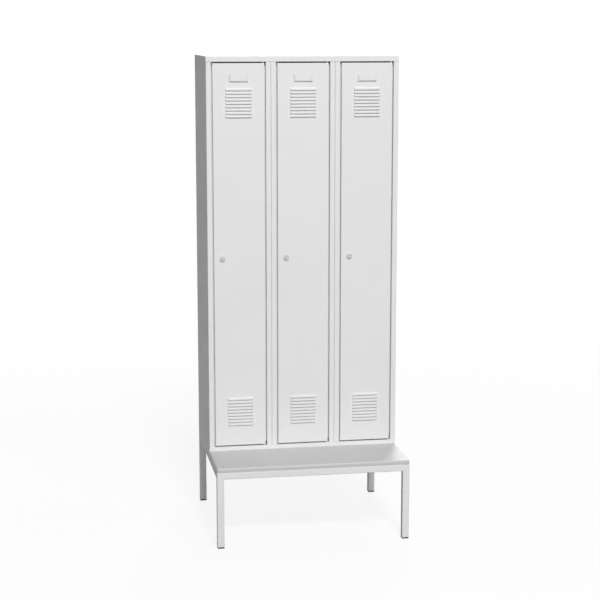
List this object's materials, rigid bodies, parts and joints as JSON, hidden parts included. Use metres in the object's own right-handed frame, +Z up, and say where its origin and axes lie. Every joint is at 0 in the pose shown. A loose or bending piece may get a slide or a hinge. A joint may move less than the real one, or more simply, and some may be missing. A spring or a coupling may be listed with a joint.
{
  "type": "gym locker",
  "caption": "Tall light grey steel gym locker: louvred doors with cam locks, hat shelves and coat rails inside, on a square-tube base with a bench seat in front.",
  "frame": {"origin": "on the floor, under the middle of the whole locker and bench", "axes": "+Z up, the doors face -Y, +X to the right of someone facing the doors"},
  "size_m": [0.9, 0.785, 2.2303],
  "materials": {
    "painted_steel": "satin powder coat",
    "seat_board": "smooth matt laminate",
    "foot_plastic": "matt",
    "zinc": "bright zinc plate",
    "chrome": "polished"
  },
  "bodies": {
    "cabinet": {"leg_front_left": "painted_steel", "leg_front_right": "painted_steel", "leg_rear_left": "painted_steel", "leg_rear_right": "painted_steel", "foot_front_left": "foot_plastic", "foot_front_right": "foot_plastic", "foot_rear_left": "foot_plastic", "foot_rear_right": "foot_plastic", "base_rail_front": "painted_steel", "base_rail_rear": "painted_steel", "base_rail_middle": "painted_steel", "base_rail_left": "painted_steel", "base_rail_right": "painted_steel", "bench_seat": "seat_board", "roof_panel": "painted_steel", "floor_panel": "painted_steel", "back_panel": "painted_steel", "wall_1_left": "painted_steel", "wall_1_right": "painted_steel", "hat_shelf_1": "painted_steel", "coat_rail_1": "zinc", "coat_hook_1": "zinc", "hinge_pin_top_1": "zinc", "hinge_pin_bottom_1": "zinc", "wall_2_left": "painted_steel", "wall_2_right": "painted_steel", "hat_shelf_2": "painted_steel", "coat_rail_2": "zinc", "coat_hook_2": "zinc", "hinge_pin_top_2": "zinc", "hinge_pin_bottom_2": "zinc", "wall_3_left": "painted_steel", "wall_3_right": "painted_steel", "hat_shelf_3": "painted_steel", "coat_rail_3": "zinc", "coat_hook_3": "zinc", "hinge_pin_top_3": "zinc", "hinge_pin_bottom_3": "zinc"},
    "door_leaf_1": {"door_1": "painted_steel", "card_holder_1": "painted_steel", "door_stiffener_1": "painted_steel", "lock_housing_1": "chrome", "lock_nut_1": "zinc"},
    "lock_core_1": {"lock_plug_1": "chrome", "lock_cam_1": "zinc"},
    "door_leaf_2": {"door_2": "painted_steel", "card_holder_2": "painted_steel", "door_stiffener_2": "painted_steel", "lock_housing_2": "chrome", "lock_nut_2": "zinc"},
    "lock_core_2": {"lock_plug_2": "chrome", "lock_cam_2": "zinc"},
    "door_leaf_3": {"door_3": "painted_steel", "card_holder_3": "painted_steel", "door_stiffener_3": "painted_steel", "lock_housing_3": "chrome", "lock_nut_3": "zinc"},
    "lock_core_3": {"lock_plug_3": "chrome", "lock_cam_3": "zinc"}
  },
  "joints": [
    {"name": "door_1_hinge", "type": "hinge", "parent": "cabinet", "child": "door_leaf_1", "pos_m": [-0.1865, -0.081, 1.3018], "axis": [0, 0, 1], "range_deg": [0, 105]},
    {"name": "lock_1_turn", "type": "hinge", "parent": "door_leaf_1", "child": "lock_core_1", "pos_m": [-0.38, -0.0875, 1.3018], "axis": [0, 1, 0], "range_deg": [0, 90]},
    {"name": "door_2_hinge", "type": "hinge", "parent": "cabinet", "child": "door_leaf_2", "pos_m": [0.1135, -0.081, 1.3018], "axis": [0, 0, 1], "range_deg": [0, 105]},
    {"name": "lock_2_turn", "type": "hinge", "parent": "door_leaf_2", "child": "lock_core_2", "pos_m": [-0.08, -0.0875, 1.3018], "axis": [0, 1, 0], "range_deg": [0, 90]},
    {"name": "door_3_hinge", "type": "hinge", "parent": "cabinet", "child": "door_leaf_3", "pos_m": [0.4135, -0.081, 1.3018], "axis": [0, 0, 1], "range_deg": [0, 105]},
    {"name": "lock_3_turn", "type": "hinge", "parent": "door_leaf_3", "child": "lock_core_3", "pos_m": [0.22, -0.0875, 1.3018], "axis": [0, 1, 0], "range_deg": [0, 90]}
  ]
}
